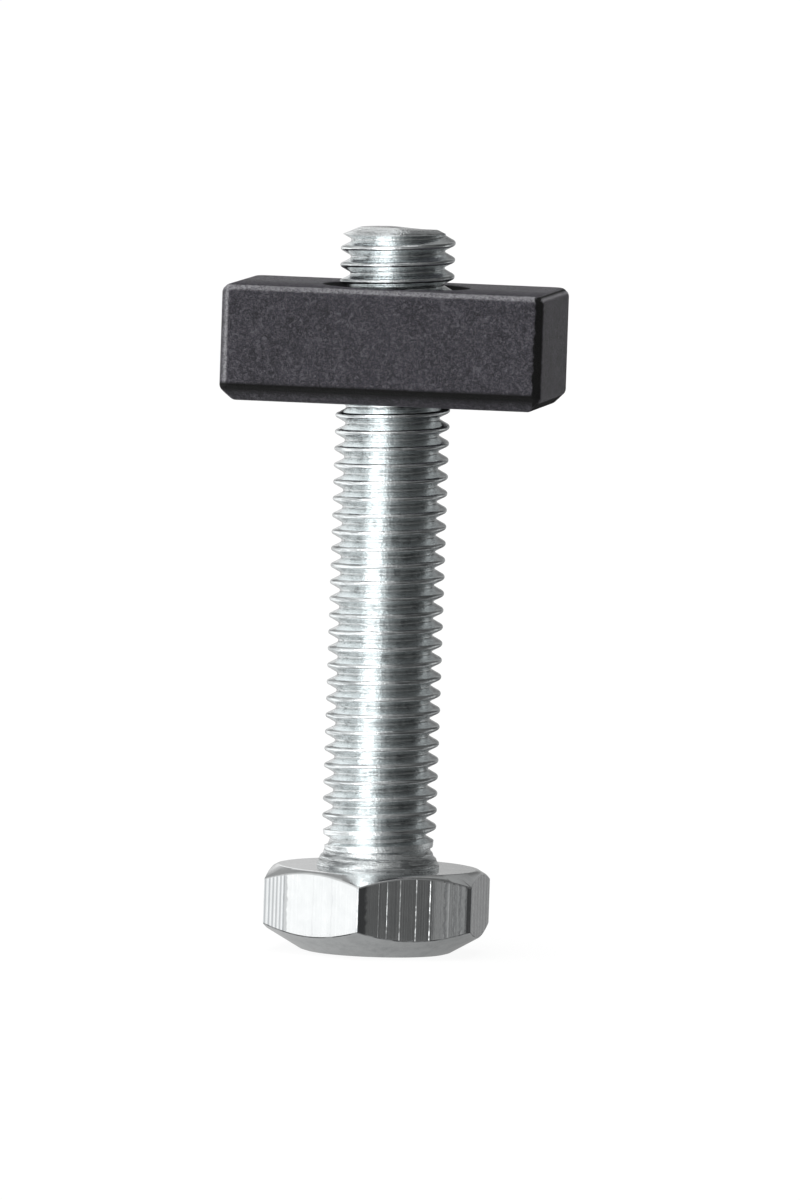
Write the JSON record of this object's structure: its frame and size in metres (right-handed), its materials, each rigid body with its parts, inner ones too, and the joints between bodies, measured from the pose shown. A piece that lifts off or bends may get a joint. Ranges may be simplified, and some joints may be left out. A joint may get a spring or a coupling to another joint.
{
  "type": "hook screw",
  "caption": "Zinc-plated steel hexagon head screw with a coarse metric thread, carrying a black bevelled rectangular clamp block near its chamfered tip",
  "frame": {"origin": "centre of the head's flat end face, on the screw's axis; the screw stands on its head", "axes": "+Z along the screw from the head to the tip, X along the block's length, Y across the block's depth with the broad front face towards -Y"},
  "size_m": [0.034, 0.0254, 0.0759],
  "materials": {
    "zinc_steel": "bright zinc plated, lightly sheared flats",
    "black_steel": "black phosphated, fine matt grain"
  },
  "bodies": {
    "screw": {"hex_screw": "zinc_steel"},
    "block": {"clamp_block": "black_steel"}
  },
  "joints": [
    {"name": "block_travel", "type": "slide", "parent": "screw", "child": "block", "axis": [0, 0, 1], "range_m": [-0.044, 0.006]}
  ]
}
